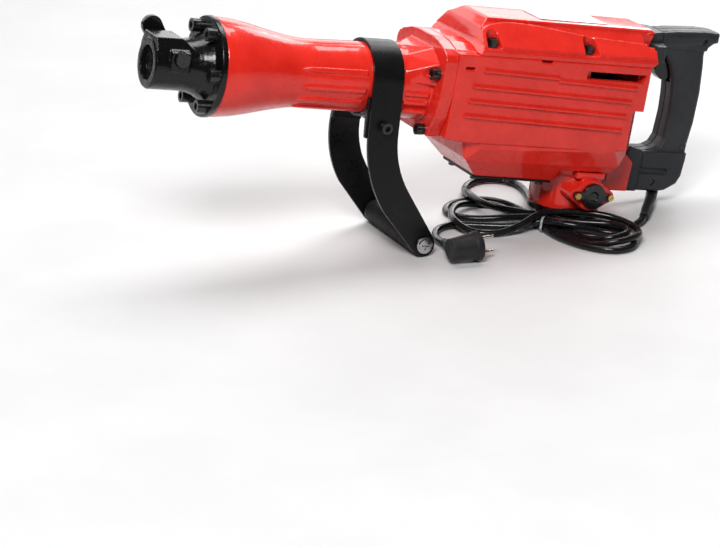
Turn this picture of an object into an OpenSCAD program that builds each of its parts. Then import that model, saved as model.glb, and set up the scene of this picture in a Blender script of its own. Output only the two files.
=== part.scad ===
// Electric jackhammer standing nose-up on its side grip and motor foot.
// Most parts are drawn in the tool's own axes: x runs rearward from the nose's
// front face along the barrel axis, y across, z square to the barrel. place()
// tilts them onto the surface at z = 0. The cord lies in the final frame.

/* [Stance] */
// Nose-up tilt of the barrel axis, degrees
pitch = 10; // [8:0.5:12]

/* [Nose] */
// Radius of the round mouth of the tool socket
mouth_r = 20.5; // [19:0.5:22]
// Width across flats of the hexagonal tool socket
hex_af = 30.6; // [30.2:0.1:31]
// Radius of the round part of the nose
nose_r = 31; // [30:0.5:33]
// Radius of the nose flange
flange_r = 60.5; // [59:0.5:62]
// Radius of the nose bolt circle
nose_pcd_r = 50; // [49:0.5:51]

/* [Barrel] */
// Radius of the barrel at its narrow waist
waist_r = 41.5; // [41:0.25:42.25]
// Bore radius of the cylinder liner
liner_r = 25; // [24:0.5:25]
// Wall of the cylinder liner
liner_wall = 5; // [4:0.5:5]

/* [Body] */
// Half width of the crankcase
body_hw = 70; // [68:0.5:72]
// Height of the seam between crankcase and top cover
seam_z = 52; // [52:0.5:53]
// Height of the flat top
top_z = 93; // [92:0.5:94]
// Half width of the flat top
top_hw = 32; // [30:0.5:34]
// Radius of the motor housing
motor_r = 46; // [45.5:0.25:46.5]

/* [Drive] */
// Radius of the crank throw, half the piston stroke
crank_throw = 21; // [18:0.5:21]
// Length of the connecting rod between its pins
rod_len = 142; // [138:1:144]
// Teeth on each pinion
pinion_teeth = 12; // [12:1:12]
// Teeth on each large gear
gear_teeth = 42; // [42:1:42]

/* [Side handle] */
// Width of the strap
strap_w = 40; // [36:1:42]
// Thickness of the strap
strap_t = 4; // [3:0.5:5]
// Radius of the knurled grip
grip_r = 16; // [15:0.5:17]

/* [D-handle] */
// Half width of the handle shells
handle_hw = 20; // [19:0.5:21]

/* [Cord] */
// Diameter of the mains cord
cord_d = 9; // [8:0.5:9]

/* [Hidden] */
$fn = 64;
eps = 0.05;
fit = 0.05;

red = "#e5322b";
black = "#1b1b1d";
plastic = "#3c3e42";
steel = "#a9adb3";

// Places along the barrel axis
nose_flange_x = 71.3;
casing_x = 78.6;
throat_x = 318;
rear_flange_x = 355;
case_x = 372;
case_end = 645;
cover_x = 400;
casing_front_r = 59.5;
band_x = 295;
retainer_x = 30.7;
retainer_z = 13;
retainer_r = 8.5;

// Drive axes, all vertical in the tool's own axes
motor_x = 596;
first_module = 1.25;
second_module = 2;
first_centres = first_module * (pinion_teeth + gear_teeth) / 2;
second_centres = second_module * (pinion_teeth + gear_teeth) / 2;
mid_x = motor_x - first_centres;
crank_x = mid_x - second_centres;
wrist_x = crank_x - crank_throw - rod_len;

// Side handle and motor foot, which carry the tool
exit_x = 727;
relief_r = 8;
grip_x = 365.4;
grip_z = -187.5;
grip_half = 66;
strap_r = 43.7;
lean = 7.6;
foot_rear_x = motor_x + motor_r;
stand_z = grip_x * sin(pitch) - grip_z * cos(pitch) + grip_r;
foot_z = (foot_rear_x * sin(pitch) - stand_z) / cos(pitch);
mid_shift_x = -388;
brush_z = -118;
bolt_cols = [[419, 58], [557, 55]];
bolt_floor = 61;

module place() translate([mid_shift_x, 0, stand_z]) rotate([0, pitch, 0]) children();

// ---- helpers ----
// Solid of revolution about the barrel axis; points are [radius, x]
module spin(points) rotate([0, 90, 0]) rotate_extrude($fn = 96) polygon(points);
module rod_x(x, len, r, y = 0, z = 0) translate([x, y, z]) rotate([0, 90, 0]) cylinder(h = len, r = r);
module rod_y(x, y, z, len, r) translate([x, y, z]) rotate([-90, 0, 0]) cylinder(h = len, r = r);
module rod_z(x, y, z, len, r) translate([x, y, z]) cylinder(h = len, r = r);
// Side profile (x, z) stretched across y, and cross section (y, z) stretched along x
module across(y0, y1) translate([0, y1, 0]) rotate([90, 0, 0]) linear_extrude(y1 - y0) children();
module along(x0, x1) translate([x0, 0, 0]) rotate([90, 0, 90]) linear_extrude(x1 - x0) children();
module both_sides() { children(); mirror([0, 1, 0]) children(); }
// Socket-head screw pointing along +z from its head's top at the origin, downwards
module socket_screw(head_r, head_h, r, len) {
    difference() {
        union() {
            translate([0, 0, -head_h]) cylinder(h = head_h, r = head_r, $fn = 32);
            translate([0, 0, -head_h - len]) cylinder(h = len + eps, r = r, $fn = 24);
        }
        translate([0, 0, -head_h * 0.6]) cylinder(h = head_h, r = head_r * 0.58, $fn = 6);
    }
}

// ---- nose ----
module nose_profile() spin([[mouth_r, 0], [nose_r - 2, 0], [nose_r, 2], [nose_r, 42], [nose_r + 1.5, 52],
    [nose_r + 4, 60], [nose_r + 10, 70], [nose_r + 10, nose_flange_x], [flange_r - 1, nose_flange_x],
    [flange_r, nose_flange_x + 1], [flange_r, casing_x], [mouth_r, casing_x]]);

module nose_block_section() {
    circle(r = nose_r - 0.2);
    polygon([[-nose_r + 0.2, 0], [-27, 20], [-19, 35], [21, 35], [28, 20], [nose_r - 0.2, 0]]);
}

module nose_cover() color(black) difference() {
    union() {
        nose_profile();
        intersection() {
            along(1, 60) nose_block_section();
            across(-40, 40) polygon([[1, -30], [1, 34], [3, 36], [33, 36], [52, 20], [52, -30]]);
        }
        along(18, 42) polygon([[-33, -2], [-33, 20], [-24, 24], [-20, 10], [-20, -2]]);
        along(16, 42) polygon([[34, 0], [34, 22], [24, 26], [20, 10], [20, 0]]);
    }
    rod_x(-1, casing_x + 2, mouth_r);
    rod_x(10, casing_x, 24.05);
    rod_x(62, casing_x, 30.05);
    rod_y(retainer_x, -40, retainer_z, 80, retainer_r + fit);
    for (a = [0:60:300]) rotate([a, 0, 0]) rod_x(nose_flange_x - 1, 12, 5.3, -nose_pcd_r);
}

module nose_cover_bolts() color(black)
    for (a = [0:60:300]) rotate([a, 0, 0])
        translate([nose_flange_x - 12, -nose_pcd_r, 0]) rotate([0, -90, 0]) socket_screw(8, 12, 5, 30);

// Hexagonal bush with a shoulder and a window for the retainer
module tool_bush() color(steel) difference() {
    union() {
        rod_x(10.1, 80, 24);
        rod_x(62.1, 20, 30);
    }
    rotate([0, 90, 0]) translate([0, 0, 5]) cylinder(h = 90, r = hex_af / 2 / cos(30), $fn = 6);
    rod_y(retainer_x, -40, retainer_z, 80, retainer_r + fit);
}

// Cross shaft flattened in the middle so the tool can pass
module retainer_shaft() color(black) difference() {
    rod_y(retainer_x, -37.5, retainer_z, 81.5, retainer_r);
    translate([retainer_x - 10, -20, retainer_z - 10]) cube([20, 40, 12.9]);
}

module retainer_lever() color(black) difference() {
    across(36, 44) hull() {
        translate([retainer_x, retainer_z]) circle(r = 12, $fn = 32);
        translate([16, 36]) circle(r = 12.5, $fn = 32);
    }
    rod_y(retainer_x, 30, retainer_z, 20, retainer_r);
}

module damper_ring() color("#222222") difference() {
    rod_x(90.3, 14, 39.7);
    rod_x(90, 15, 26);
}

// ---- barrel ----
function casing_r(x) = x < 205
    ? waist_r + (casing_front_r - waist_r) * (1 + cos(180 * (x - casing_x) / (205 - casing_x))) / 2
    : waist_r + min(1.5, (x - 205) * 0.03);
function waist_curve() = [for (x = [casing_x + 6:8:205]) [casing_r(x), x]];

module rear_outline() offset(r = 3) offset(delta = -3) polygon([for (s = [-1, 1]) for (p = s < 0
    ? [[52, -57], [64.5, -30], [69.6, -4], [69.8, 42], [66, 48.5], [56, 54], [36, 60], [18, 62.5]]
    : [[18, 62.5], [36, 60], [56, 54], [66, 48.5], [69.8, 42], [69.6, -4], [64.5, -30], [52, -57]])
    [s * p[0], p[1]]]);
rear_bolts = [[56, 22], [40, -51]];

// Faceted throat that widens from the band to the rear flange
module throat() {
    spin([[20, throat_x - 2], [44.5, throat_x - 2], [45.3, throat_x + 2], [46.5, 340],
        [48.5, rear_flange_x + 2], [20, rear_flange_x + 2]]);
    both_sides() {
        hull() {
            along(throat_x + 2, throat_x + 3) polygon([[0, 44], [-26, 36.5], [-42, 20], [-43.5, 8], [0, 8]]);
            along(rear_flange_x, rear_flange_x + 1)
                polygon([[0, 49], [-32, 49], [-54, 34], [-54, 7], [0, 7]]);
        }
        for (z = [-7, -18, -29]) translate([throat_x, 0, 0]) rotate([0, 0, -5])
            along(6, rear_flange_x + 1 - throat_x)
                polygon([[-24, z - 4], [-47 - z / 6, z - 2.6], [-47.5 - z / 6, z + 2.4], [-24, z + 4]]);
    }
}

module barrel_casing() color(red) difference() {
    union() {
        spin(concat(
            [[20, casing_x + 0.1], [casing_front_r - 1, casing_x + 0.1], [casing_front_r, casing_x + 1.5]],
            waist_curve(), [[casing_r(240), 240], [43, 262], [43, throat_x - 1], [20, throat_x - 1]]));
        for (side = [0, 180]) for (a = [19, -10, -33, -55]) {
            turn = side == 0 ? -a : 180 + a;
            rotate([turn, 0, 0]) translate([0, -waist_r - 3.4, 0]) rib_bar(182, 268);
        }
        throat();
        along(rear_flange_x, case_x) rear_outline();
    }
    rod_x(casing_x, 26, 40);
    rod_x(60, 400, liner_r + liner_wall + fit);
    for (a = [0:60:300]) rotate([a, 0, 0]) rod_x(casing_x - 1, 24, 5.1, -nose_pcd_r);
    for (s = [-1, 1]) for (b = rear_bolts) {
        rod_x(rear_flange_x - 1, 30, 4.1, s * b[0], b[1]);
        rod_x(rear_flange_x - 18, 18, 8, s * b[0], b[1]);
    }
}

// Raised rib with a tapered start, lying along x, its crest at y = 0
module rib_bar(x0, x1) translate([0, 4, 0]) rotate([90, 0, 0]) linear_extrude(4)
    polygon([[x0, 0], [x0 + 12, 2.6], [x1, 3.1], [x1, -3.1], [x0 + 12, -2.6]]);

module barrel_bolts() color(black)
    for (s = [-1, 1]) for (b = rear_bolts)
        translate([rear_flange_x - 10, s * b[0], b[1]]) rotate([0, -90, 0]) socket_screw(7, 10, 4, 28);

// Ram that strikes the bit, guided behind the tool bush
module second_hammer() color(steel) difference() {
    union() {
        rod_x(129.5, 70, 20);
        rod_x(149.5, 28, liner_r + liner_wall - 0.4);
    }
    rod_x(193.5, 10, 4);
}

module cylinder_liner() color(steel) difference() {
    rod_x(178, 214, liner_r + liner_wall);
    rod_x(170, 230, liner_r);
}

module striker() color(steel) rod_x(238, 62, liner_r - 0.3);

module piston() color("#c3c6ca") difference() {
    rod_x(wrist_x - 44, 62, liner_r - 0.3);
    translate([wrist_x - 24, -14, -9]) cube([60, 28, 18]);
    rod_z(wrist_x, 0, -30, 60, 6 + fit);
}

module piston_pin() color(steel) rod_z(wrist_x, 0, -liner_r + 2.5, 2 * liner_r - 5, 6);

module connecting_rod() color("#8d9197") difference() {
    union() {
        rod_z(wrist_x, 0, -8, 16, 8.6);
        across(-6, 6) polygon([[wrist_x, -6], [wrist_x + rod_len, -7], [wrist_x + rod_len, 7], [wrist_x, 6]]);
        rod_z(wrist_x + rod_len, 0, -8, 16, 16);
    }
    rod_z(wrist_x, 0, -30, 60, 6 + fit);
    rod_z(wrist_x + rod_len, 0, -20, 40, 8 + fit);
}

module crank_pin() color(steel) rod_z(wrist_x + rod_len, 0, -8.6, 17.3, 8);

// Crank disc and shaft; the disc runs just above the crank pin
module crankshaft() color("#8d9197") {
    rod_z(crank_x, 0, 9, 10, 33);
    rod_z(crank_x, 0, 19 - eps, 12, 12);
    rod_z(crank_x, 0, 19, 66, 8.5);
}

// ---- gears ----
pressure = 25;
function inv(a) = tan(a) * 180 / PI - a;
function flank(r, rb, half) = half + inv(pressure) - inv(acos(min(1, rb / r)));
function gear_points(teeth, m, add, ded, backlash) =
    let (rp = m * teeth / 2, rb = rp * cos(pressure), ra = rp + add * m, rf = rp - ded * m,
         half = 90 / teeth - backlash / rp * 90 / PI, r0 = max(rb, rf), steps = 4)
    [for (t = [0:teeth - 1]) let (c = 360 * t / teeth) each concat(
        [[rf, c - flank(r0, rb, half) - 0.5]],
        [for (k = [0:steps]) let (r = r0 + (ra - r0) * k / steps) [r, c - flank(r, rb, half)]],
        [for (k = [steps:-1:0]) let (r = r0 + (ra - r0) * k / steps) [r, c + flank(r, rb, half)]],
        [[rf, c + flank(r0, rb, half) + 0.5]])];
module gear(teeth, m, h, turn = 0) rotate([0, 0, turn]) linear_extrude(h)
    polygon([for (p = gear_points(teeth, m, 0.8, 1.05, 0.22)) [p[0] * cos(p[1]), p[0] * sin(p[1])]]);
half_pitch = 180 / pinion_teeth;

module crank_gear() color(steel) difference() {
    translate([crank_x, 0, 56]) gear(gear_teeth, second_module, 10);
    rod_z(crank_x, 0, 50, 30, 8.55);
    for (a = [0:60:300]) rotate_at(crank_x, a) rod_z(25, 0, 50, 30, 6);
}
module rotate_at(x, a) translate([x, 0, 0]) rotate([0, 0, a]) children();

module intermediate_gear() color(steel) difference() {
    translate([mid_x, 0, 69.5]) gear(gear_teeth, first_module, 8);
    rod_z(mid_x, 0, 60, 30, 6.05);
}

module intermediate_shaft() color(steel) {
    rod_z(mid_x, 0, 43, 12.1, 5);
    translate([mid_x, 0, 55]) gear(pinion_teeth, second_module, 12, half_pitch);
    rod_z(mid_x, 0, 66.9, 11.5, 6);
    rod_z(mid_x, 0, 78, 9.5, 4);
}

bearings = [[crank_x, 40, 12, 8.5, 20], [crank_x, 74, 11, 8.5, 17.5], [mid_x, 43, 8, 5, 13],
    [mid_x, 80, 7, 4, 11], [motor_x, 42, 10, 6, 16], [motor_x, -146, 9, 5, 15]];
module ball_bearings() color(steel) for (b = bearings) difference() {
    rod_z(b[0], 0, b[1], b[2], b[4]);
    rod_z(b[0], 0, b[1] - 1, b[2] + 2, b[3] + fit);
    for (end = [-1, b[2] - 1]) difference() {
        rod_z(b[0], 0, b[1] + end, 2, b[3] + (b[4] - b[3]) * 0.7);
        rod_z(b[0], 0, b[1] + end - 1, 4, b[3] + (b[4] - b[3]) * 0.3);
    }
}

// ---- crankcase ----
module case_side() polygon([[case_x, seam_z], [case_end, seam_z], [case_end, -5], [641, -5], [641, -66],
    [626, -84], [622, -90], [550, -90], [546, -106.5], [434, -104.5], [408, -79], [403, -58.5],
    [case_x, -55]]);
case_flank = [[body_hw, seam_z + 1], [body_hw, -30], [body_hw - 2, -60], [60, -82], [44, -108]];
module case_section() polygon(concat(
    [for (p = case_flank) [-p[0], p[1]]],
    [for (k = [len(case_flank) - 1:-1:0]) case_flank[k]]));

module case_shell() {
    intersection() {
        across(-body_hw - 5, body_hw + 5) case_side();
        along(case_x, case_end) case_section();
        union() {
            translate([case_x, -80, -5]) cube([280, 160, 60]);
            translate([0, 0, -58]) linear_extrude(54)
                polygon([[case_x, -80], [620, -80], [641, -57], [641, 57], [620, 80], [case_x, 80]]);
            translate([0, 0, -110]) linear_extrude(53)
                polygon([[400, -50], [408, -60], [424, -66], [616, -68], [641, -54],
                    [641, 54], [616, 68], [424, 66], [408, 60], [400, 50]]);
        }
    }
    along(case_x, cover_x - 0.3) intersection() {
        rear_outline();
        translate([-80, -57]) square([160, 130]);
    }
    case_ribs();
}

// Four raised ribs a side, falling slightly to the rear; the top one steps down at mid length
rib_slope = 1.8;
module side_rib(x0, x1, z) across(-body_hw - 3.4, -body_hw + 3) let (fall = (x1 - x0) * tan(rib_slope))
    polygon([[x0, z + 1.8], [x1, z + 1.8 - fall], [x1 + 1, z - 2.2 - fall], [x0 - 1, z - 2.2]]);
module case_ribs() both_sides() {
    side_rib(407, 514, 34);
    side_rib(514, 628, 27.6);
    side_rib(397, 624, 13.5);
    side_rib(394, 620, -5);
    side_rib(391, 617, -23.5);
}

module motor_tube(r) translate([motor_x, 0, -91]) cylinder(h = 100, r = r);

// Space for the crank at the front, the motor at the rear and the plate on top
module case_hollow() {
    intersection() {
        along(386, 637) polygon([[-61, 42], [-61, -50], [-37, -99], [37, -99], [61, -50], [61, 42]]);
        union() {
            across(-70, 70) polygon([[386, 46], [386, -49], [407, -53], [412, -76], [437, -99], [546, -99],
                [546, 46]]);
            translate([551, -70, -83]) cube([84, 140, 130]);
        }
    }
    translate([401, -61.6, 41.9]) cube([236, 123.2, 20]);
    rod_x(360, 40, liner_r + liner_wall + fit);
}

module cover_columns(r, z0, z1) for (s = [-1, 1]) for (b = bolt_cols)
    rod_z(b[0], s * b[1], z0, z1 - z0, r);

module crankcase() color(red) difference() {
    union() {
        difference() {
            case_shell();
            case_hollow();
        }
        intersection() {
            cover_columns(9, 14, seam_z);
            translate([380, -body_hw + 1, 0]) cube([270, 2 * body_hw - 2, seam_z]);
        }
        intersection() {
            motor_tube(motor_r + 1.5);
            translate([551, -61, -90]) cube([84, 122, 98]);
        }
    }
    translate([motor_x, 0, -120]) cylinder(h = 128.5, r = 43.4);
    cover_columns(4.1, 20, seam_z + 2);
    for (s = [-1, 1]) for (b = rear_bolts) rod_x(case_x - 1, 14, 4.1, s * b[0], b[1]);
    // long air slots beside the fan, and small pry slots along the seam
    both_sides() {
        across(-80, -58) polygon([[554, 32], [554, 41.5], [640, 41.5], [637, 32]]);
        translate([486, -75, seam_z - 3.4]) cube([16, 12.5, 3.5]);
        translate([383, -75, 33.2]) cube([13, 12.5, 3.4]);
    }
    translate([motor_x, 0, -130]) cylinder(h = 41, r = 48);
}

module bearing_plate() color(steel) difference() {
    union() {
        translate([401.5, -61.2, 42]) cube([235, 122.4, seam_z - 42 - eps]);
        rod_z(crank_x, 0, 39.5, 4, 24);
    }
    rod_z(crank_x, 0, 40, 20, 20.05);
    rod_z(crank_x, 0, 30, 20, 14);
    rod_z(mid_x, 0, 43, 20, 13.05);
    rod_z(mid_x, 0, 30, 20, 9);
    rod_z(motor_x, 0, 30, 30, 16.05);
    cover_columns(9.4, 30, 60);
}

// ---- top cover ----
slope = atan2(top_z - 58, body_hw - top_hw);
module cover_section() polygon([[-body_hw, seam_z], [-body_hw, 58], [-top_hw, top_z - 0.6],
    [-top_hw + 6, top_z], [top_hw - 6, top_z], [top_hw, top_z - 0.6], [body_hw, 58], [body_hw, seam_z]]);
module cover_side() polygon([[cover_x, seam_z], [cover_x + 5, 62], [cover_x + 8, 82], [cover_x + 18, 91],
    [cover_x + 24, top_z + 1], [656, top_z + 1], [661, 90], [653, 58], [case_end + 1, seam_z]]);

// Raised field on the sloped side below an arched ridge; u runs along x, v down the slope
arch_line = [[400, 26], [406, 22], [414, 15.5], [424, 11.5], [436, 8.8], [450, 7.6], [470, 8], [487, 9.6],
    [515, 13.5], [543, 17.6], [570, 20.4], [599, 22.4], [652, 25.4]];
module on_slope(depth, height) translate([0, -top_hw, top_z]) rotate([slope, 0, 0]) mirror([0, 1, 0])
    translate([0, 0, -depth]) linear_extrude(height) children();
module arch_field() on_slope(1, 3.6) polygon(concat([[404, 47]], arch_line, [[652, 47]]));
// Sunk strip between the ridge of the top and the arch
module arch_strip() on_slope(2.6, 12) polygon(concat([[418, 3.4]], [for (p = arch_line) if (p[0] > 418) p],
    [[652, 3.4]]));

module bolt_pocket(x, y, r) {
    hull() {
        rod_z(x, y, bolt_floor, 40, r);
        rod_z(x, y * 1.4, bolt_floor, 40, r + 2);
    }
}

module top_cover() color(red) difference() {
    union() {
        intersection() {
            along(cover_x, 662) cover_section();
            across(-80, 80) cover_side();
        }
        intersection() {
            both_sides() arch_field();
            across(-80, 80) cover_side();
            translate([0, 0, 55]) cube([1500, 140, 200], center = true);
        }
    }
    both_sides() arch_strip();
    // gear space
    along(412, 640) polygon([[-47, seam_z - 1], [47, seam_z - 1], [47, 66], [33, 74], [33, 79], [-33, 79],
        [-33, 74], [-47, 66]]);
    rod_z(crank_x, 0, 70, 15.3, 17.55);
    rod_z(mid_x, 0, 70, 18, 11.05);
    rod_z(motor_x, 0, 70, 13, 13);
    for (s = [-1, 1]) for (b = bolt_cols) {
        bolt_pocket(b[0], s * b[1], 9);
        rod_z(b[0], s * b[1], 40, 40, 4.1);
    }
    // pockets for the handle bolts at the rear corners
    for (s = [-1, 1]) translate([643, s * 45 - 10, 58]) cube([30, 20, 30]);
}

module cover_bolts() color(black)
    for (s = [-1, 1]) for (b = bolt_cols)
        translate([b[0], s * b[1], bolt_floor + 11]) socket_screw(6.5, 11, 4, 34);

module nameplate() color("#c9cbce") translate([500, -24, top_z + eps]) cube([96, 48, 0.8]);

// ---- bottom ----
module bottom_cover() color(black) intersection() {
    across(-70, 70) polygon([[434, -104.6], [545, -106.6], [545, -109.6], [434, -107.6]]);
    translate([0, 0, -120]) linear_extrude(60) polygon([[434, -41], [438, -45.5], [550, -45.5], [550, 45.5],
        [438, 45.5], [434, 41]]);
}
module bottom_bolts() color(black) for (s = [-1, 1]) for (x = [443, 488, 533])
    translate([x, s * (x < 450 ? 30 : 35), -112.2 - (x - 434) * 0.018]) cylinder(h = 4.5, r = 5, $fn = 24);

// ---- motor ----
module armature_shaft() color(steel) {
    rod_z(motor_x, 0, -145.5, 10, 5);
    rod_z(motor_x, 0, -136, 204.6, 6);
    translate([motor_x, 0, 68.5]) gear(pinion_teeth, first_module, 11, half_pitch);
}
module armature_core() color("#7d5a3a") difference() {
    union() {
        rod_z(motor_x, 0, -62, 60, 24);
        rod_z(motor_x, 0, -78, 86, 20);
    }
    for (a = [0:30:330]) rotate_at(motor_x, a) translate([24, 0, -70]) cylinder(h = 80, r = 1.6, $fn = 24);
    rod_z(motor_x, 0, -90, 110, 6.05);
}
module commutator() color("#b87333") difference() {
    rod_z(motor_x, 0, -131, 26, 14);
    rod_z(motor_x, 0, -140, 40, 6.05);
}
module cooling_fan() color("#2a2a2c") difference() {
    union() {
        rod_z(motor_x, 0, 13, 22, 10);
        rod_z(motor_x, 0, 13, 2.5, 38);
        for (a = [0:30:330]) rotate_at(motor_x, a)
            translate([9, -1.2, 13]) rotate([0, 0, 12]) cube([27.5, 2.4, 16]);
    }
    rod_z(motor_x, 0, 0, 60, 6.05);
}
module stator() color("#6b6e73") difference() {
    union() {
        rod_z(motor_x, 0, -64, 64, 43.1);
        rod_z(motor_x, 0, -78, 88, 39);
    }
    rod_z(motor_x, 0, -90, 130, 24.8);
}

module brush_pad(y0, y1) across(y0, y1) hull() {
    translate([motor_x, brush_z]) circle(r = 20, $fn = 48);
    for (s = [-1, 1]) translate([motor_x + s * 24, brush_z]) circle(r = 7.5, $fn = 32);
}

module motor_housing() color(red) difference() {
    union() {
        translate([motor_x, 0, -147]) cylinder(h = 56.9, r = motor_r, $fn = 96);
        translate([motor_x, 0, -100]) cylinder(h = 9.9, r = motor_r + 1.5, $fn = 96);
        both_sides() {
            brush_pad(-66.4, -38);
            translate([motor_x, 0, -91]) mirror([0, 1, 0]) translate([-20, 30, -9]) cube([40, 26, 8.5]);
        }
    }
    rod_z(motor_x, 0, -143, 60, 41);
    rod_z(motor_x, 0, -146.05, 20, 15.05);
    rod_y(motor_x, -80, brush_z, 160, 11.1);
    for (s = [-1, 1]) for (t = [-1, 1]) rod_y(motor_x + t * 24, s * 60 - 10, brush_z, 20, 2.1);
}

module motor_foot() color(black)
    translate([motor_x, 0, foot_z]) cylinder(h = -147.05 - foot_z, r = motor_r, $fn = 96);

module brush_holders() color("#b08d57") both_sides() difference() {
    rod_y(motor_x, -62, brush_z, 46, 11);
    translate([motor_x - 5.55, -70, brush_z - 8.05]) cube([11.1, 60, 16.1]);
}
module brush(y0) translate([motor_x - 5.5, y0, brush_z - 8]) cube([11, 18, 16]);
module brush_left() color("#333333") brush(-32.1);
module brush_right() color("#333333") brush(14.1);
module brush_springs() color(steel) both_sides()
    for (y = [36.5:4.6:60]) rod_y_ring(motor_x, -y - 1.2, brush_z, 5, 3.6, 1.2);
module rod_y_ring(x, y, z, r, r_in, len) difference() {
    rod_y(x, y, z, len, r);
    rod_y(x, y - 1, z, len + 2, r_in);
}
module brush_caps() color(black) both_sides() difference() {
    union() {
        rod_y(motor_x, -71.8, brush_z, 5.3, 16.5);
        across(-71, -66.5) hull()
            for (s = [-1, 1]) translate([motor_x + s * 24, brush_z]) circle(r = 4.8, $fn = 32);
    }
    rod_y(motor_x, -73, brush_z, 2.8, 6);
    for (s = [-1, 1]) rod_y(motor_x + s * 24, -80, brush_z, 20, 2.1);
}
module brush_cap_screws() color("#c9a34a") both_sides()
    for (s = [-1, 1]) translate([motor_x + s * 24, -74, brush_z]) rotate([90, 0, 0])
        socket_screw(4, 2.9, 2, 12);

// ---- rear handle ----
module handle_bracket() color(red) difference() {
    across(-25, 25) polygon([[627, -85.6], [643, -66.6], [663, -73], [673, -83], [671.6, -121], [625, -121],
        [625, -91]]);
    translate([motor_x, 0, -130]) cylinder(h = 60, r = motor_r + 1.8, $fn = 96);
    rod_x(655, 40, 4.1, 0, -97);
}

module handle_blocks() color(plastic) difference() {
    union() {
        intersection() {
            across(-60, 60) polygon([[662, 88], [684, 88.6], [684, 56], [655.2, 56], [656, 60.5]]);
            union() {
                translate([0, 0, 50]) linear_extrude(26)
                    polygon([[655, -54], [672, -52], [684, -24], [684, 24], [672, 52], [655, 54]]);
                translate([0, 0, 76 - eps]) linear_extrude(20)
                    polygon([[655, -31], [684, -21], [684, 21], [655, 31]]);
            }
        }
        across(-21, 21) polygon([[663.6, -72.6], [668, -62], [687.8, -68], [687.8, -121.5], [672.2, -121.5],
            [673.6, -83]]);
    }
    for (s = [-1, 1]) rod_x(640, 30, 4.1, s * 45, 65.5);
    rod_x(668, 19, 4.1, 0, -97);
}
module handle_bolts() color(black) {
    for (s = [-1, 1]) translate([644, s * 45, 65.5]) rotate([0, -90, 0]) socket_screw(6.5, 9.5, 4, 15);
    translate([686, 0, -97]) rotate([0, 90, 0]) translate([0, 0, -26]) cylinder(h = 26, r = 4);
}

module handle_outline() polygon([[684.3, 88.6], [706, 91], [748, 93.4], [768, 92.6], [777.1, 90.5],
    [776.2, 80], [764, 77.5], [757, 72], [755, 63], [757.5, 45], [760.5, 12], [760, -28], [756.5, -58],
    [756.5, -77],
    [754.5, -99], [749, -110], [733, -119.5], [722, -121.5], [688.1, -121.5], [688.1, -68], [703, -65.5],
    [712, -60.5], [717, -50], [718.5, -18], [717, 6], [714.5, 22], [711, 34], [706, 46], [698, 56],
    [684.3, 56]]);
// Boxy zones above and below the grip
module handle_ends() {
    translate([680, 68]) square([110, 40]);
    translate([680, -130]) square([110, 62]);
}

trigger_pivot = [704, 69];
pivot_r = 3;
// One shell of the D-handle, stepped in towards its outer face
module handle_shell() difference() {
    union() {
        across(-13, -eps) handle_outline();
        across(-15.5, -12) offset(delta = -1.8) handle_outline();
        across(-17.2, -12) offset(delta = -4.6) handle_outline();
        across(-handle_hw + 1.5, -10) intersection() {
            offset(delta = -0.8) handle_outline();
            handle_ends();
        }
        across(-handle_hw, -10) intersection() {
            offset(delta = -2.6) handle_outline();
            handle_ends();
        }
        across(-handle_hw - 1.5, -2) polygon([[690, 84], [748, 88], [766, 88], [764, 80],
            [690, 72]]);
    }
    across(-13.5, 1)
        polygon([[721, 70], [750, 70], [755, 20], [752.5, -50], [726, -54], [724, -18], [722, 20]]);
    across(-8.8, 1) polygon([[680, 22], [680, 78], [724, 78], [724, 22]]);
    rod_y(trigger_pivot[0], -12, trigger_pivot[1], 13, pivot_r + fit);
    // the top's rear corners are cut off at a slant
    translate([0, 0, 60]) linear_extrude(40) polygon([[765, -26], [790, -26], [790, 1], [779.5, 1]]);
    rod_z(exit_x, 0, -130, 75, relief_r + 1);
    rod_z(exit_x, 0, -116, 5, relief_r + 3.2);
    for (p = handle_screw_at) {
        rod_y(p[0], -30, p[1], 16, 3.8);
        rod_y(p[0], -20, p[1], 30, 2.1);
    }
    translate([690, -25, -98]) cube([40, 9, 8]);
}
handle_screw_at = [[748.5, 80], [748.5, -61], [711.5, -109.5]];

module handle_left() color(plastic) handle_shell();
module handle_right() color(plastic) mirror([0, 1, 0]) handle_shell();
module handle_screws() color(black) for (p = handle_screw_at) {
    rod_y(p[0], -17, p[1], 3, 3.6);
    rod_y(p[0], -14.2, p[1], 28, 2);
}
module switch_body() color("#2b2c2f") translate([725, -13, 12]) cube([24, 26, 54]);

module trigger() color(black) {
    across(-8, 8) polygon([[698.5, 75], [694, 66], [692.5, 58], [688.6, 37.6], [692, 31], [700, 25],
        [708, 24], [713, 29], [713.5, 66], [712, 75], [704, 77]]);
    rod_y(trigger_pivot[0], -11.5, trigger_pivot[1], 23, pivot_r);
}

// ---- side handle ----
// Arc over the barrel and two straight legs tangent to it; a face of the strip is at radius r
arc_steps = 40;
function strip_face(r) = concat([r * [cos(lean), sin(lean)] + 225 * [sin(lean), -cos(lean)]],
    [for (k = [0:arc_steps]) let (a = lean + (180 - 2 * lean) * k / arc_steps) r * [cos(a), sin(a)]],
    [r * [-cos(lean), sin(lean)] + 225 * [-sin(lean), -cos(lean)]]);
function reversed(list) = [for (k = [len(list) - 1:-1:0]) list[k]];
module strap_strip() polygon(concat(strip_face(strap_r + strap_t), reversed(strip_face(strap_r))));
bend_r = 130;
bend_a = 38;
bend_z = -58;
leg_end_r = 15.6;
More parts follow.
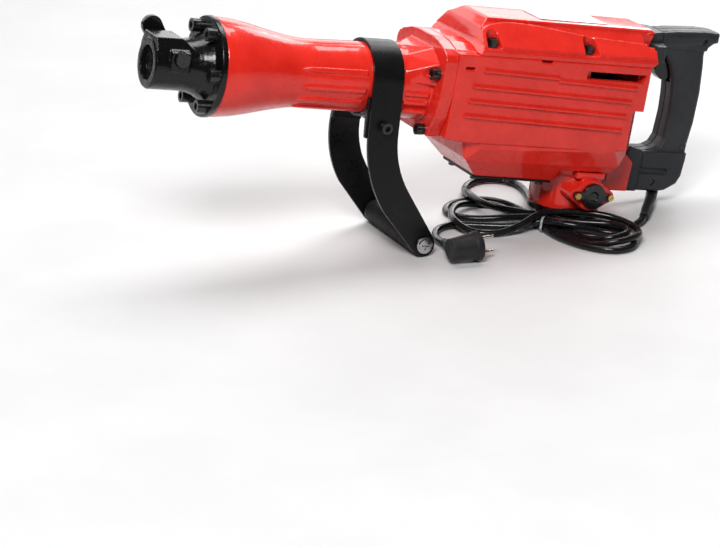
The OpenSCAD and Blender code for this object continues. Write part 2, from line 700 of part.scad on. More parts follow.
// Centre line of a leg seen from the side: down, round a bend, then straight to the grip
function leg_line() = concat([[band_x, 60], [band_x, bend_z]],
    [for (a = [2:3:bend_a]) [band_x + bend_r * (1 - cos(a)), bend_z - bend_r * sin(a)]], [[grip_x, grip_z]]);
module leg_outline() {
    line = leg_line();
    n = len(line);
    function way(k) = let (a = line[max(0, k - 1)], b = line[min(n - 1, k + 1)], d = b - a) d / norm(d);
    function side(k, s) = line[k] + s * strap_w / 2 * [-way(k)[1], way(k)[0]];
    toe = way(n - 1);
    toe_a = atan2(toe[1], toe[0]);
    polygon(concat([for (k = [0:n - 2]) side(k, 1)],
        [for (a = [90:-15:-90]) [grip_x, grip_z] + leg_end_r * [cos(toe_a + a), sin(toe_a + a)]],
        [for (k = [n - 2:-1:0]) side(k, -1)]));
}
module side_strap() color(black) difference() {
    intersection() {
        along(260, 400) strap_strip();
        across(-90, 90) leg_outline();
    }
    rod_y(band_x, -90, clamp_z, 180, 4.2);
    rod_y(grip_x, -90, grip_z, 180, 5.1);
}
clamp_z = -47.6;
module clamp_saddle() color(black) difference() {
    union() {
        along(band_x - 18, band_x + 18) intersection() {
            circle(r = 48);
            translate([-48, -50]) square([96, 34]);
        }
        both_sides() along(band_x - 22, band_x + 18)
            polygon([[-45.3, -14], [-51.8, -64], [-45.5, -64], [-38, -30], [-40, -14]]);
    }
    rod_x(band_x - 30, 60, strap_r - 0.4);
    rod_y(band_x, -60, clamp_z, 120, 4.2);
}
module clamp_bolt() color(black) {
    translate([band_x, -64, clamp_z]) rotate([90, 0, 0]) socket_screw(7, 8, 4, 126);
    translate([band_x, 56, clamp_z]) rotate([-90, 0, 0]) difference() {
        cylinder(h = 6.5, r = 7.5, $fn = 6);
        translate([0, 0, -1]) cylinder(h = 9, r = 4.05);
    }
}
module side_grip() color(black) difference() {
    rod_y(grip_x, -grip_half, grip_z, 2 * grip_half, grip_r);
    for (s = [-1, 1]) rod_y(grip_x, s * 47 - 23, grip_z, 46, 5.05);
}
module grip_screws() color(steel) both_sides() difference() {
    union() {
        rod_y(grip_x, -78.4, grip_z, 3.6, 10.5);
        rod_y(grip_x, -80.4, grip_z, 2.1, 8);
        rod_y(grip_x, -76.4, grip_z, 49.4, 5);
    }
    translate([grip_x - 5, -81.4, grip_z - 1]) cube([10, 3.5, 2]);
    translate([grip_x - 1, -81.4, grip_z - 5]) cube([2, 3.5, 10]);
}

// ---- cord ----
// Routes in the final frame: out of the handle, a tied hank, a loop on the far side and the plug's end
relief_route = [[308.3, 0, 26.5], [307.3, 0, 21], [306, -1, 16.4], [303.4, -4, 12.5], [298.6, -10.5, 10.1],
    [290, -22, 9.2], [280, -35, 9], [270, -48, 9], [261, -60, 9], [252, -72, 9]];
lead_route = [[251.9, -72.2, 9], [246, -80, 8.6], [237, -87, 6], [227, -90, 5]];
loop_route = [[82, 65, 5], [84, 90, 5], [92, 118, 5], [108, 144, 5], [133, 158, 5], [158, 150, 5],
    [171, 127, 5], [169, 98, 5], [160, 68, 5], [150, 40, 5], [141, 12, 5], [135.5, -8, 5], [133.2, -21, 5]];
tail_route = [[24, 8, 5], [6, 3, 5], [-10, -8, 5], [-20, -24, 5], [-25, -40, 6.4], [-26, -59.8, 9]];
plug_at = [-4, -112, 19];
plug_r = 18.5;
hank_h = 22;
relief_sizes = [8, 8, 7.9, 7.7, 7.4, 7.1, 6.8, 6.5, 6.2, 5.9];
relief_steps = 3;
function curve_point(p, i, t) =
    let (a = p[max(0, i - 1)], b = p[i], c = p[i + 1], d = p[min(len(p) - 1, i + 2)])
    b + t * ((c - a) / 2 + t * ((2 * a - 5 * b + 4 * c - d) / 2 + t * (3 * b - a - 3 * c + d) / 2));
function curve(p, steps) = concat(
    [for (i = [0:len(p) - 2]) for (k = [0:steps - 1]) curve_point(p, i, k / steps)],
    [p[len(p) - 1]]);
// Round tube along points; radii holds one radius for each point
module swept_tube(points, radii, sides = 10) {
    n = len(points);
    function dir(k) = let (v = points[min(n - 1, k + 1)] - points[max(0, k - 1)]) v / norm(v);
    function ring(k) = let (u = cross(dir(k), [0.4, 0.3, 0.86]), e = u / norm(u), f = cross(dir(k), e))
        [for (s = [0:sides - 1]) let (a = 360 * s / sides) points[k] + radii[k] * (cos(a) * e + sin(a) * f)];
    polyhedron([for (k = [0:n - 1]) each ring(k)],
        concat([[for (s = [0:sides - 1]) s]],
            [for (k = [0:n - 2]) for (s = [0:sides - 1]) let (t = (s + 1) % sides)
                [k * sides + s, (k + 1) * sides + s, (k + 1) * sides + t, k * sides + t]],
            [[for (s = [sides - 1:-1:0]) (n - 1) * sides + s]]));
}
module cord_tube(route) let (points = curve(route, 2)) swept_tube(points, [for (p = points) cord_d / 2]);
function relief_radius(k) =
    let (i = floor(k / relief_steps), t = k / relief_steps - i, n = len(relief_sizes) - 1)
    relief_sizes[i] * (1 - t) + relief_sizes[min(n, i + 1)] * t;
module strain_relief() color(black) let (points = curve(relief_route, relief_steps))
    swept_tube(points, [for (k = [0:len(points) - 1]) relief_radius(k)], 16);
module cord_lead() color(black) cord_tube(lead_route);
module cord_loop() color(black) cord_tube(loop_route);
module cord_tail() color(black) cord_tube(tail_route);
module hank_lobe(ends) linear_extrude(hank_h) hull()
    for (e = ends) translate([e[0], e[1]]) circle(r = e[2], $fn = 48);
module cord_hank() color(black) difference() {
    union() {
        hank_lobe([[60, 28, 38], [52, 2, 28], [124, -46, 14]]);
        hank_lobe([[124, -46, 14], [152, -80, 24], [190, -116, 38]]);
    }
    // room for the ends of the three cord runs that meet the hank
    for (route = [lead_route, loop_route, tail_route]) hank_socket(route[len(route) - 1]);
    hank_socket(loop_route[0]);
    hank_socket(tail_route[0]);
}
module hank_socket(p) translate(p) sphere(r = cord_d / 2 + 0.6, $fn = 24);
module plug_body() color(black) difference() {
    union() {
        translate(plug_at) rotate([0, -90, 0]) cylinder(h = 8, r = plug_r, $fn = 64);
        translate(plug_at - [7.9, 0, 0]) rotate([0, -90, 0])
            cylinder(h = 32, r1 = plug_r - 1.5, r2 = plug_r - 5, $fn = 64);
        swept_tube([[-33, -112, 17], [-32, -98, 15.5], [-29, -84, 12.5], [-26.5, -72, 10.5], [-26, -60, 9]],
            [11, 10, 8, 6.6, 5.8], 24);
    }
    for (z = [-9.5, 9.5]) translate(plug_at + [-13, 0, z]) rotate([0, 90, 0]) cylinder(h = 14, r = 2.4);
}
module plug_pins() color(steel) for (z = [-9.5, 9.5]) translate(plug_at + [-12.9, 0, z]) rotate([0, 90, 0])
    cylinder(h = 31.9, r = 2.35);

place() nose_cover();
place() nose_cover_bolts();
place() tool_bush();
place() retainer_shaft();
place() retainer_lever();
place() damper_ring();
place() barrel_casing();
place() second_hammer();
place() cylinder_liner();
place() striker();
place() piston();
place() piston_pin();
place() connecting_rod();
place() crank_pin();
place() crankshaft();
place() crank_gear();
place() ball_bearings();
place() crankcase();
place() bearing_plate();
place() top_cover();
place() cover_bolts();
place() barrel_bolts();
place() intermediate_gear();
place() intermediate_shaft();
place() armature_shaft();
place() armature_core();
place() commutator();
place() cooling_fan();
place() stator();
place() motor_housing();
place() motor_foot();
place() brush_holders();
place() brush_left();
place() brush_right();
place() brush_springs();
place() brush_caps();
place() brush_cap_screws();
place() bottom_cover();
place() bottom_bolts();
place() handle_bracket();
place() handle_blocks();
place() handle_bolts();
place() handle_left();
place() handle_right();
place() handle_screws();
place() switch_body();
place() trigger();
place() side_strap();
place() clamp_saddle();
place() clamp_bolt();
place() side_grip();
place() grip_screws();
place() nameplate();
strain_relief();
cord_lead();
cord_hank();
cord_loop();
cord_tail();
plug_body();
plug_pins();
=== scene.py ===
"""Looks of the electric jackhammer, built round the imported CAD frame.

Places are in the row frame. Sizes are in millimetres times MM, and lights and camera are in metres.
"""
import math

import bmesh
import bpy
import numpy as np
from mathutils import Matrix, Vector


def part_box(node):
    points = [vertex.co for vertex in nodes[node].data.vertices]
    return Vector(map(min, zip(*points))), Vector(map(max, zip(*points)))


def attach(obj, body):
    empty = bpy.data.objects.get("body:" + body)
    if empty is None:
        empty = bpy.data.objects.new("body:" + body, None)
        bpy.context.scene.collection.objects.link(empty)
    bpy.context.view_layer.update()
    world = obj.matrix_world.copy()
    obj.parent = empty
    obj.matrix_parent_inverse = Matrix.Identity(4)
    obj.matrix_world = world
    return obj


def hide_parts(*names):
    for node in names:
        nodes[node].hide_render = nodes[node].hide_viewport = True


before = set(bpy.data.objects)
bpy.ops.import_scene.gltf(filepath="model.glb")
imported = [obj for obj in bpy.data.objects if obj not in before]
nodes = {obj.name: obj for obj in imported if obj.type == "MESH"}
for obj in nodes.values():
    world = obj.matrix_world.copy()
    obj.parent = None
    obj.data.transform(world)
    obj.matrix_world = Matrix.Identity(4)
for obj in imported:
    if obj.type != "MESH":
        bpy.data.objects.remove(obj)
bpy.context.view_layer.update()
MM = 0.001
FINE = 1.0  # coarser meshes while trying things


# ---------------------------------------------------------------- camera
CAMERA_PLACE = (-1.3762, -2.7622, 1.0796)
CAMERA_RIGHT = (0.91018, -0.41416, 0.00591)
CAMERA_BACK = (-0.39047, -0.85319, 0.34582)  # from the object to the camera
LENS = 129.6
SENSOR_WIDTH = 36


def add_camera():
    right = Vector(CAMERA_RIGHT).normalized()
    back = Vector(CAMERA_BACK).normalized()
    up = back.cross(right).normalized()
    right = up.cross(back).normalized()
    camera = bpy.data.objects.new("camera", bpy.data.cameras.new("camera"))
    bpy.context.scene.collection.objects.link(camera)
    turn = Matrix((right, up, back)).transposed().to_4x4()
    camera.matrix_world = Matrix.Translation(CAMERA_PLACE) @ turn
    camera.data.sensor_width = SENSOR_WIDTH
    camera.data.lens = LENS
    camera.data.clip_end = 50
    bpy.context.scene.camera = camera


# ---------------------------------------------------------------- node materials
class Shader:
    """A Principled material with short helpers for procedural nodes in object space."""

    def __init__(self, name, color, roughness, metallic=0.0, **values):
        self.material = bpy.data.materials.new(name)
        self.material.use_nodes = True
        self.tree = self.material.node_tree
        self.shader = self.tree.nodes["Principled BSDF"]
        self.set("Base Color", (*color, 1))
        self.set("Roughness", roughness)
        self.set("Metallic", metallic)
        for key, value in values.items():
            self.set(key.replace("_", " "), value)
        self.coordinates = self.tree.nodes.new("ShaderNodeTexCoord").outputs["Object"]
        self.normal = None

    def set(self, socket, value):
        self.shader.inputs[socket].default_value = value

    def node(self, kind, inputs=None, **settings):
        node = self.tree.nodes.new(kind)
        for key, value in settings.items():
            setattr(node, key, value)
        for key, value in (inputs or {}).items():
            if isinstance(value, bpy.types.NodeSocket):
                self.tree.links.new(value, node.inputs[key])
            else:
                node.inputs[key].default_value = value
        return node

    def noise(self, scale, detail=3.0, rough=0.55, vector=None):
        return self.node(
            "ShaderNodeTexNoise",
            {"Vector": vector or self.coordinates, "Scale": scale, "Detail": detail, "Roughness": rough},
        ).outputs["Fac"]

    def ramp(self, factor, low, high, dark, light):
        """factor mapped from low..high to dark..light."""
        return self.node(
            "ShaderNodeMapRange",
            {"Value": factor, "From Min": low, "From Max": high, "To Min": dark, "To Max": light},
        ).outputs["Result"]

    def mix(self, factor, a, b):
        node = self.node("ShaderNodeMix", data_type="RGBA")
        for index, value in ((0, factor), (6, a), (7, b)):
            if isinstance(value, bpy.types.NodeSocket):
                self.tree.links.new(value, node.inputs[index])
            else:
                node.inputs[index].default_value = (*value, 1) if index else value
        return node.outputs[2]

    def link(self, value, socket):
        self.tree.links.new(value, self.shader.inputs[socket])

    def mottle(self, factor, low, high, dark, light):
        """Base colour between dark and light as factor goes from low to high."""
        self.link(self.mix(self.ramp(factor, low, high, 0.0, 1.0), dark, light), "Base Color")

    def bump(self, height, strength, distance):
        inputs = {"Height": height, "Strength": strength, "Distance": distance}
        if self.normal:
            inputs["Normal"] = self.normal
        self.normal = self.node("ShaderNodeBump", inputs).outputs["Normal"]
        self.link(self.normal, "Normal")


def red_paint():
    """Gloss enamel over cast metal: slight orange peel and faint mottling."""
    m = Shader(
        "red_enamel", (0.72, 0.024, 0.014), 0.26,
        Coat_Weight=0.62, Coat_Roughness=0.04, Specular_IOR_Level=0.16,
    )
    m.mottle(m.noise(28, 4), 0.35, 0.65, (0.62, 0.017, 0.010), (0.72, 0.025, 0.015))
    m.link(m.ramp(m.noise(70, 3), 0.3, 0.7, 0.18, 0.34), "Roughness")
    m.bump(m.noise(30, 2, 0.45), 0.20, 0.0016)
    m.bump(m.noise(620, 2), 0.08, 0.00022)
    return m.material


def black_enamel():
    """Thick gloss black on rough sand casting."""
    m = Shader(
        "black_enamel", (0.004, 0.004, 0.0045), 0.2,
        Coat_Weight=0.25, Coat_Roughness=0.05, Specular_IOR_Level=0.2,
    )
    grain = m.noise(240, 4, 0.65)
    m.link(m.ramp(grain, 0.3, 0.7, 0.14, 0.34), "Roughness")
    m.bump(m.noise(85, 3), 0.55, 0.0018)
    m.bump(grain, 0.35, 0.0006)
    return m.material


def satin_black():
    """Powder-coated strip steel."""
    m = Shader("satin_black", (0.0045, 0.0045, 0.005), 0.30, Specular_IOR_Level=0.32)
    m.link(m.ramp(m.noise(60, 4), 0.3, 0.7, 0.24, 0.36), "Roughness")
    m.bump(m.noise(900, 2), 0.06, 0.0002)
    return m.material


def black_oxide():
    """Blackened socket screws, slightly oily."""
    m = Shader("black_oxide", (0.012, 0.012, 0.013), 0.24, 0.55, Coat_Weight=0.4, Coat_Roughness=0.08)
    m.mottle(m.noise(420, 4), 0.35, 0.7, (0.008, 0.008, 0.009), (0.030, 0.029, 0.028))
    m.link(m.ramp(m.noise(700, 3), 0.3, 0.7, 0.16, 0.34), "Roughness")
    m.bump(m.noise(1500, 2), 0.10, 0.0001)
    return m.material


def bright_metal(name, color, roughness, grain=900.0):
    """Machined or plated metal with fine turning marks."""
    m = Shader(name, color, roughness, 1.0)
    stretched = m.node("ShaderNodeMapping", {"Vector": m.coordinates, "Scale": (1.0, 14.0, 1.0)})
    marks = m.noise(grain, 3, 0.6, stretched.outputs["Vector"])
    m.link(m.ramp(marks, 0.3, 0.7, roughness * 0.7, roughness * 1.5), "Roughness")
    dark = tuple(c * 0.78 for c in color)
    m.mottle(m.noise(60, 4), 0.35, 0.65, dark, color)
    m.bump(marks, 0.08, 0.0001)
    return m.material


def handle_plastic():
    """Glass-filled nylon with a fine moulded grain."""
    m = Shader("handle_nylon", (0.024, 0.026, 0.028), 0.42, Specular_IOR_Level=0.28)
    m.mottle(m.noise(35, 4), 0.35, 0.65, (0.020, 0.0215, 0.024), (0.028, 0.030, 0.034))
    cells = m.node("ShaderNodeTexVoronoi", {"Vector": m.coordinates, "Scale": 1300.0}, feature="SMOOTH_F1")
    m.link(m.ramp(m.noise(180, 3), 0.3, 0.7, 0.38, 0.55), "Roughness")
    m.bump(cells.outputs["Distance"], 0.22, 0.0003)
    return m.material


def gloss_plastic():
    m = Shader(
        "gloss_black_plastic", (0.004, 0.004, 0.0045), 0.16,
        Coat_Weight=0.2, Coat_Roughness=0.06, Specular_IOR_Level=0.4,
    )
    m.link(m.ramp(m.noise(90, 4), 0.3, 0.7, 0.11, 0.24), "Roughness")
    m.bump(m.noise(160, 2), 0.08, 0.0005)
    return m.material


def rubber(name, roughness, color=(0.012, 0.012, 0.013)):
    m = Shader(name, color, roughness, Specular_IOR_Level=0.3)
    light = tuple(c * 1.7 for c in color)
    m.mottle(m.noise(45, 4), 0.4, 0.7, color, light)
    m.link(m.ramp(m.noise(140, 3), 0.3, 0.7, roughness - 0.08, roughness + 0.12), "Roughness")
    m.bump(m.noise(700, 3), 0.12, 0.0003)
    return m.material


def laminations():
    """Stacked sheet steel, seen as fine lines across the motor's axis."""
    m = Shader("laminations", (0.22, 0.16, 0.11), 0.5, 0.8)
    wave = m.node("ShaderNodeTexWave", {"Vector": m.coordinates, "Scale": 500.0}, bands_direction="Z")
    layers = wave.outputs["Fac"]
    m.link(m.mix(layers, (0.10, 0.075, 0.055), (0.30, 0.22, 0.15)), "Base Color")
    m.bump(layers, 0.3, 0.0003)
    return m.material


def floor_paint():
    m = Shader("floor", (0.58, 0.58, 0.58), 0.62)
    m.mottle(m.noise(6, 3), 0.4, 0.6, (0.57, 0.57, 0.57), (0.59, 0.59, 0.59))
    return m.material


# ---------------------------------------------------------------- mesh helpers
def new_object(name, mesh):
    piece = bpy.data.objects.new(name, mesh)
    bpy.context.scene.collection.objects.link(piece)
    return piece


def apply_modifiers(piece):
    bpy.context.view_layer.update()
    mesh = bpy.data.meshes.new_from_object(piece.evaluated_get(bpy.context.evaluated_depsgraph_get()))
    piece.modifiers.clear()
    piece.data = mesh


def paint(piece, material):
    piece.data.materials.clear()
    piece.data.materials.append(material)


def smooth(mesh):
    mesh.polygons.foreach_set("use_smooth", [True] * len(mesh.polygons))


def bridge(mesh, rows):
    """Quads between neighbouring rings of vertices."""
    for a, b in rows:
        for j in range(len(a)):
            k = (j + 1) % len(a)
            mesh.faces.new((a[j], b[j], b[k], a[k]))


def smooth_object(name, mesh):
    """A smooth-shaded object from a bmesh, with its faces turned outward."""
    bmesh.ops.recalc_face_normals(mesh, faces=mesh.faces)
    data = bpy.data.meshes.new(name)
    mesh.to_mesh(data)
    smooth(data)
    return new_object(name, data)


def finish(piece, body, slot, material, *stands_for):
    """Rides and paints a finished piece, and hides the CAD parts it stands for."""
    paint(piece, material)
    if stands_for:
        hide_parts(*stands_for)
    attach(piece, body)
    return piece


def cast(node, body, slot, material, voxel, rounds, keep):
    """A casting or moulding: the CAD solid remeshed and relaxed, so that every edge gets its fillet.

    voxel is in mm, rounds are smoothing passes and keep is the share of faces left by the decimation.
    """
    piece = new_object(node + "_skin", nodes[node].data.copy())
    remesh = piece.modifiers.new("remesh", "REMESH")
    remesh.mode, remesh.voxel_size, remesh.use_smooth_shade = "VOXEL", voxel * FINE * MM, True
    relax = piece.modifiers.new("relax", "SMOOTH")
    relax.factor, relax.iterations = 0.5, max(1, round(rounds / FINE**2))
    fewer = piece.modifiers.new("fewer", "DECIMATE")
    fewer.ratio = keep
    apply_modifiers(piece)
    smooth(piece.data)
    return finish(piece, body, slot, material, node)


def crisp(node, material, width, segments, angle=30):
    """A machined or pressed CAD part: kept as it is, with small edge rounds. Width in mm."""
    piece = nodes[node]
    paint(piece, material)
    for polygon in piece.data.polygons:
        polygon.use_smooth = False
    bevel = piece.modifiers.new("edges", "BEVEL")
    bevel.width, bevel.segments, bevel.limit_method = width * MM, segments, "ANGLE"
    bevel.angle_limit = math.radians(angle)
    bevel.harden_normals = True


# ---------------------------------------------------------------- cord
# Routes are in millimetres on the floor: x and y in the row frame, z the strand's middle.
CORD_D = 9 * MM
CORD_STEP = 3.0  # mm between the curve's points
TIE = Vector((126, -42))
ACROSS = Vector((0.73, 0.68))  # across the hank at the tie, away from the camera
STRAND_STEP, FLOOR_ROW, ROW_RISE = 9.3, 4.7, 8.8


def tie_slot(side, row):
    """Where a strand crosses the tie: side strand-widths off its middle, on the floor or on a row above."""
    place = TIE + ACROSS * side * STRAND_STEP
    return (place.x, place.y, FLOOR_ROW + ROW_RISE * row)


def lead():
    """From the strain relief's end under the motor to the tie."""
    return [(298.6, -10.5, 10.1), (290, -22, 9.2), (280, -35, 9), (270, -48, 9), (261, -60, 9),
            (252, -72, 9), (242, -82, 7), (229, -88, 5), (212, -90, 4.7), (190, -84, 4.7),
            (170, -71, 4.7), (152, -55, 9), tie_slot(1, 1)]


def far_loop():
    """Out to the far side and back beside the foot to the tie."""
    return [(113, -12, 14), (96, 10, 14.2), (84, 32, 14.2), (80, 56, 14.2), (81, 78, 14.2),
            (85, 98, 11), (93, 121, 6), (108, 143, 5), (132, 156, 5), (156, 149, 5), (170, 127, 5),
            (169, 98, 5), (160, 68, 5), (150, 40, 5), (142, 12, 5), (137, -8, 5), (134.5, -21, 4.8),
            tie_slot(1, 0)]


def right_inner():
    """Inside turn of the near lobe, lying on the other turns."""
    return [(137, -60, 4.7), (141, -82.5, 4.7), (145, -99, 5), (149, -118, 7), (158, -133, 11.5),
            (174, -141, 14.5), (191, -135, 14.5), (200, -117, 14.5), (193, -97.5, 14.4),
            (179, -86, 14.2), (163, -76.5, 14.2), (146, -62, 14.2), tie_slot(0, 1)]


def left_far():
    """Far turn of the left lobe, on the floor."""
    return [(106, -21, 12), (84, 0, 7), (60, 14, 4.7), (42, 28, 4.7), (33, 48, 4.7), (40, 70, 4.7),
            (60, 84, 4.7), (84, 87, 4.7), (107, 77, 4.7), (121, 52, 4.7), (126, 22, 4.7),
            (126, -8, 4.7), (125, -27, 4.7), tie_slot(0, 0)]


def right_outer():
    """Outside turn of the near lobe, crossing over the tie on the third row."""
    return [(128, -69.5, 4.7), (131, -90, 4.7), (136, -110, 4.7), (147, -135, 6.5), (164, -150, 12),
            (184, -153, 14.2), (202, -144, 14), (213, -126, 12), (216, -104, 12.5), (210, -88, 14.5),
            (197, -73.5, 17.5), (175, -58, 20), (151, -48, 21.5), tie_slot(0, 2)]


def left_near():
    """Near turn of the left lobe, over the far one and back on the floor."""
    return [(106, -48, 20.5), (84, -50, 12), (60, -47, 5.5), (38, -40, 5), (23, -26, 8),
            (17, -6, 13.5), (22, 16, 14), (34, 37, 14), (50, 55, 12.5), (68, 67, 8), (88, 69, 4.7),
            (103, 58, 4.7), (110, 36, 4.7), (113, 8, 4.7), (115, -18, 4.7), (117, -36, 4.7),
            tie_slot(-1, 0)]


def right_low():
    """Bottom turn of the near lobe, on the floor."""
    return [(119, -74, 4.7), (121, -92.5, 4.7), (129, -120, 4.7), (143, -146, 4.7), (164, -161, 4.7),
            (188, -156, 4.7), (202, -133, 4.7), (195, -107.5, 4.7), (178, -94, 5.5), (158, -84.5, 11),
            (143, -76.5, 13.9), (130, -64, 14), tie_slot(-1, 1)]


def tail():
    """From the tie round to the plug."""
    return [(99, -39, 9), (76, -25, 4.7), (48, -9, 4.7), (24, 4, 4.8), (5, 5, 5), (-10, -5, 5),
            (-20, -22, 5), (-25, -41, 6.4), (-26, -60, 9), (-26.5, -72, 10.5)]


def smooth_path(points, per_span=8, passes=(16, 16, 8)):
    """A Catmull-Rom curve through points, relaxed so that no bend is sudden."""
    p = np.array(points, float)
    p = np.vstack([2 * p[0] - p[1], p, 2 * p[-1] - p[-2]])
    t = np.linspace(0, 1, per_span, endpoint=False)[:, None]
    spans = [
        0.5 * (2 * b + (c - a) * t + (2 * a - 5 * b + 4 * c - d) * t**2 + (3 * b - a - 3 * c + d) * t**3)
        for a, b, c, d in zip(p, p[1:], p[2:], p[3:])
    ]
    line = np.vstack(spans + [p[-2:-1]])
    gaps = np.linalg.norm(np.diff(line, axis=0), axis=1)
    along = np.concatenate([[0], np.cumsum(gaps)])
    even = np.linspace(0, along[-1], int(along[-1] / CORD_STEP))
    line = np.column_stack([np.interp(even, along, line[:, k]) for k in range(3)])
    for k, times in enumerate(passes):
        for _ in range(times):
            line[1:-1, k] = 0.25 * line[:-2, k] + 0.5 * line[1:-1, k] + 0.25 * line[2:, k]
    line[:, 2] = np.maximum(line[:, 2], CORD_D / MM / 2 + 0.05)
    return line * MM


def add_cord(material):
    stretches = (lead, far_loop, right_inner, left_far, right_outer, left_near, right_low, tail)
    line = smooth_path([point for stretch in stretches for point in stretch()])
    curve = bpy.data.curves.new("mains_cord", "CURVE")
    curve.dimensions = "3D"
    curve.bevel_depth = CORD_D / 2
    curve.bevel_resolution = 5
    curve.use_fill_caps = True
    spline = curve.splines.new("POLY")
    spline.points.add(len(line) - 1)
    spline.points.foreach_set("co", np.column_stack([line, np.ones(len(line))]).ravel())
    spline.use_smooth = True
    cord = new_object("mains_cord", curve)
    finish(cord, "tool_body", "cord_rubber", material, "cord_lead", "cord_hank", "cord_loop", "cord_tail")
    length = float(np.linalg.norm(np.diff(line, axis=0), axis=1).sum())
    print("cord length", round(length, 3))
    return cord


def add_tie(material):
    """A thin twist tie: a flattened loop that hugs the strands at the hank's waist."""
    half_width, half_height, middle = 19.6, 9.6, 9.4
    wire, strip = 0.9, 1.9  # wire radius, and how many times wider than thick the tie is
    turns, sides = 96, 8
    across = ACROSS.to_3d().normalized()
    along = across.cross(Vector((0, 0, 1)))
    ring = bmesh.new()
    rows = []
    for k in range(turns):
        c, s = math.cos(2 * math.pi * k / turns), math.sin(2 * math.pi * k / turns)
        # squarer than an ellipse, and narrower over the top
        x = half_width * math.copysign(abs(c) ** 0.62, c) * (0.86 if s > 0 else 1.0)
        z = max(middle + half_height * math.copysign(abs(s) ** 0.8, s), wire + 0.05)
        centre = TIE.to_3d() + across * x + Vector((0, 0, z))
        out = (across * c + Vector((0, 0, s))).normalized()
        angles = [2 * math.pi * j / sides for j in range(sides)]
        section = [(out * math.cos(b) + along * math.sin(b) * strip) * wire for b in angles]
        rows.append([ring.verts.new((centre + offset) * MM) for offset in section])
    bridge(ring, zip(rows, rows[1:] + rows[:1]))
    return finish(smooth_object("cord_tie", ring), "tool_body", "cord_rubber", material)


# ---------------------------------------------------------------- pieces
def add_grip(material):
    """The knurled sleeve of the side grip, with plain bands at its ends."""
    radius, pitch, depth, plain_band = 16.0, 2.0, 0.55, 5
    end_round, end_drop = 1.5, 1.2
    around, along = round(240 / FINE), round(264 / FINE)
    low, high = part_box("side_grip")
    centre, half = (low + high) / 2, (high.y - low.y) / 2 / MM
    count = round(2 * math.pi * radius / pitch)
    mesh = bmesh.new()
    rows = []
    for i in range(along + 1):
        y = -half + 2 * half * i / along
        from_end = half - abs(y)
        row = []
        for j in range(around):
            a = 2 * math.pi * j / around
            u, v = a * count / (2 * math.pi), y / pitch
            groove = max(abs(math.cos(math.pi * (u + v))), abs(math.cos(math.pi * (u - v)))) ** 3
            knurl = depth * groove if from_end >= plain_band else 0.0
            r = (radius - knurl - end_drop * (1 - min(1.0, from_end / end_round)) ** 2) * MM
            row.append(mesh.verts.new((centre.x + r * math.cos(a), y * MM, centre.z + r * math.sin(a))))
        rows.append(row)
    bridge(mesh, zip(rows, rows[1:]))
    for end in (rows[0], rows[-1]):
        mesh.faces.new(end)
    grip = smooth_object("side_grip_knurled", mesh)
    return finish(grip, "side_handle", "grip_black", material, "side_grip")


# ---------------------------------------------------------------- stage
def add_area(name, place, target, size, power):
    light = bpy.data.lights.new(name, "AREA")
    light.shape, light.energy = "RECTANGLE", power
    light.size, light.size_y = size
    lamp = bpy.data.objects.new(name, light)
    bpy.context.scene.collection.objects.link(lamp)
    lamp.location = place
    lamp.rotation_euler = (Vector(target) - Vector(place)).to_track_quat("-Z", "Y").to_euler()


def add_floor():
    half = 14
    corners = [(-half, -half, 0), (half, -half, 0), (half, half, 0), (-half, half, 0)]
    mesh = bpy.data.meshes.new("floor")
    mesh.from_pydata(corners, [], [(0, 1, 2, 3)])
    floor = new_object("floor", mesh)
    paint(floor, floor_paint())


def add_world():
    """A studio that is white above and behind the tool and dark in front of it."""
    toward_white = (0.22, 0.55, 0.80)
    world = bpy.data.worlds.new("studio")
    bpy.context.scene.world = world
    world.use_nodes = True
    tree = world.node_tree
    facing = tree.nodes.new("ShaderNodeVectorMath")
    facing.operation = "DOT_PRODUCT"
    facing.inputs[1].default_value = toward_white
    tree.links.new(tree.nodes.new("ShaderNodeTexCoord").outputs["Generated"], facing.inputs[0])
    glow = tree.nodes.new("ShaderNodeMapRange")
    glow.interpolation_type = "SMOOTHSTEP"
    for key, value in (("From Min", -0.15), ("From Max", 0.75), ("To Min", 0.16), ("To Max", 2.5)):
        glow.inputs[key].default_value = value
    tree.links.new(facing.outputs["Value"], glow.inputs["Value"])
    tree.links.new(glow.outputs["Result"], tree.nodes["Background"].inputs["Strength"])


def add_stage():
    add_floor()
    add_world()
    add_area("key", (-1.3, -1.9, 2.3), (0, 0, 0.15), (1.1, 0.8), 90)
    add_area("top", (0.2, 0.7, 2.3), (0.1, 0, 0.2), (2.2, 1.0), 50)
    add_area("rim", (1.7, 1.5, 1.2), (0, 0, 0.2), (0.8, 1.6), 20)
    add_area("back", (0.2, 2.6, 1.1), (0.1, 0, 0.25), (4.0, 1.3), 34)
    view = bpy.context.scene.view_settings
    view.view_transform, view.look, view.exposure = "Standard", "None", 0.0


# ---------------------------------------------------------------- build
add_camera()
RED, CAST, STRAP, OXIDE = red_paint(), black_enamel(), satin_black(), black_oxide()
STEEL = bright_metal("machined_steel", (0.42, 0.43, 0.45), 0.28)
CHROME = bright_metal("chrome", (0.66, 0.66, 0.67), 0.12, 500)
BRASS = bright_metal("brass", (0.72, 0.47, 0.17), 0.24)
NICKEL = bright_metal("nickel", (0.72, 0.69, 0.60), 0.16, 700)
ALUMINIUM = bright_metal("aluminium", (0.62, 0.63, 0.65), 0.36)
NYLON, GLOSS = handle_plastic(), gloss_plastic()
DULL = rubber("dull_black_plastic", 0.5, (0.016, 0.016, 0.018))
CORD = rubber("cord_rubber", 0.2, (0.005, 0.005, 0.0055))
SLEEVE, KNURL = rubber("moulded_rubber", 0.45), rubber("grip_rubber", 0.44)
TIE_PLASTIC = Shader("tie_plastic", (0.30, 0.31, 0.33), 0.3, Coat_Weight=0.3).material

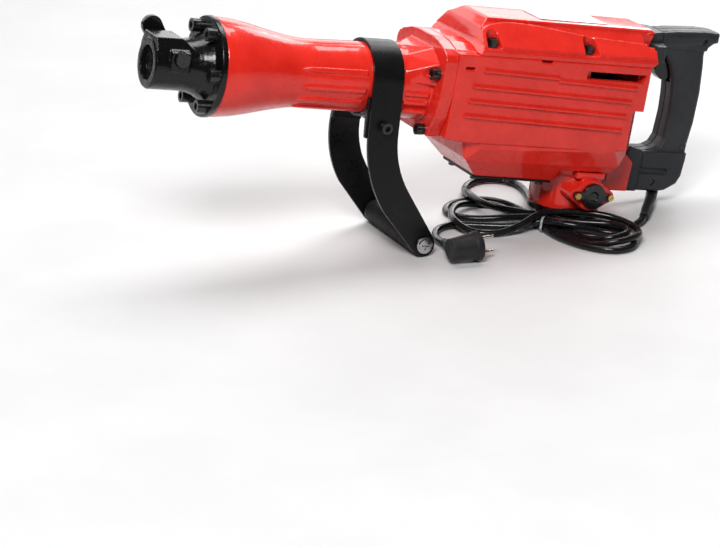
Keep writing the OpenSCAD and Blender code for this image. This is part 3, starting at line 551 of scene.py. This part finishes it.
cord = add_cord(CORD)
tie = add_tie(TIE_PLASTIC)
sleeve = cast("strain_relief", "tool_body", "rubber_black", SLEEVE, 0.6, 3, 0.5)
plug = cast("plug_body", "tool_body", "cord_rubber", SLEEVE, 0.6, 6, 0.5)
crisp("plug_pins", NICKEL, 1.0, 3)

# what cast() takes, in its order
CASTINGS = (
    ("nose_cover", "tool_body", "black_cast", CAST, 0.8, 4, 0.4),
    ("retainer_lever", "retainer", "black_cast", CAST, 0.6, 8, 0.5),
    ("barrel_casing", "tool_body", "red_paint", RED, 0.9, 3, 0.3),
    ("crankcase", "tool_body", "red_paint", RED, 0.95, 3, 0.28),
    ("top_cover", "tool_body", "red_paint", RED, 0.85, 3, 0.3),
    ("motor_housing", "tool_body", "red_paint", RED, 0.85, 4, 0.35),
    ("handle_bracket", "tool_body", "red_paint", RED, 0.85, 4, 0.4),
    ("bottom_cover", "tool_body", "black_cast", STRAP, 0.9, 3, 0.3),
    ("motor_foot", "tool_body", "black_cast", CAST, 0.9, 3, 0.4),
    ("clamp_saddle", "side_handle", "black_cast", STRAP, 0.9, 5, 0.4),
    ("handle_left", "tool_body", "handle_plastic", NYLON, 0.8, 8, 0.35),
    ("handle_right", "tool_body", "handle_plastic", NYLON, 0.8, 8, 0.35),
    ("handle_blocks", "tool_body", "handle_plastic", NYLON, 0.9, 6, 0.35),
    ("trigger", "switch_trigger", "trigger_plastic", GLOSS, 0.6, 6, 0.5),
    ("brush_caps", "tool_body", "trigger_plastic", GLOSS, 0.5, 4, 0.4),
)
for casting in CASTINGS:
    cast(*casting)
add_grip(KNURL)

# nodes, material, edge round in mm, its segments, the angle that counts as an edge
OUTSIDE = (
    (("nose_cover_bolts", "cover_bolts", "barrel_bolts", "bottom_bolts", "handle_bolts", "handle_screws",
      "clamp_bolt", "retainer_shaft"), OXIDE, 0.5, 2, 30),
    (("side_strap",), STRAP, 0.9, 3, 40),
    (("grip_screws",), CHROME, 0.5, 3, 30),
    (("brush_cap_screws",), BRASS, 0.3, 2, 30),
    (("nameplate",), ALUMINIUM, 0.25, 2, 30),
)
INSIDE = (
    (("tool_bush", "second_hammer", "cylinder_liner", "striker", "piston", "piston_pin", "connecting_rod",
      "crank_pin", "crankshaft", "ball_bearings", "intermediate_shaft", "armature_shaft", "brush_springs"),
     STEEL, 0.3, 1, 40),
    (("crank_gear", "intermediate_gear"), STEEL, 0.15, 1, 50),
    (("bearing_plate",), ALUMINIUM, 0.4, 1, 40),
    (("stator", "armature_core"), laminations(), 0.3, 1, 40),
    (("commutator", "brush_holders"), BRASS, 0.3, 1, 40),
    (("brush_left", "brush_right", "cooling_fan", "switch_body", "damper_ring"), DULL, 0.3, 1, 40),
)
for names, material, width, segments, angle in OUTSIDE + INSIDE:
    for name in names:
        crisp(name, material, width, segments, angle)

add_stage()
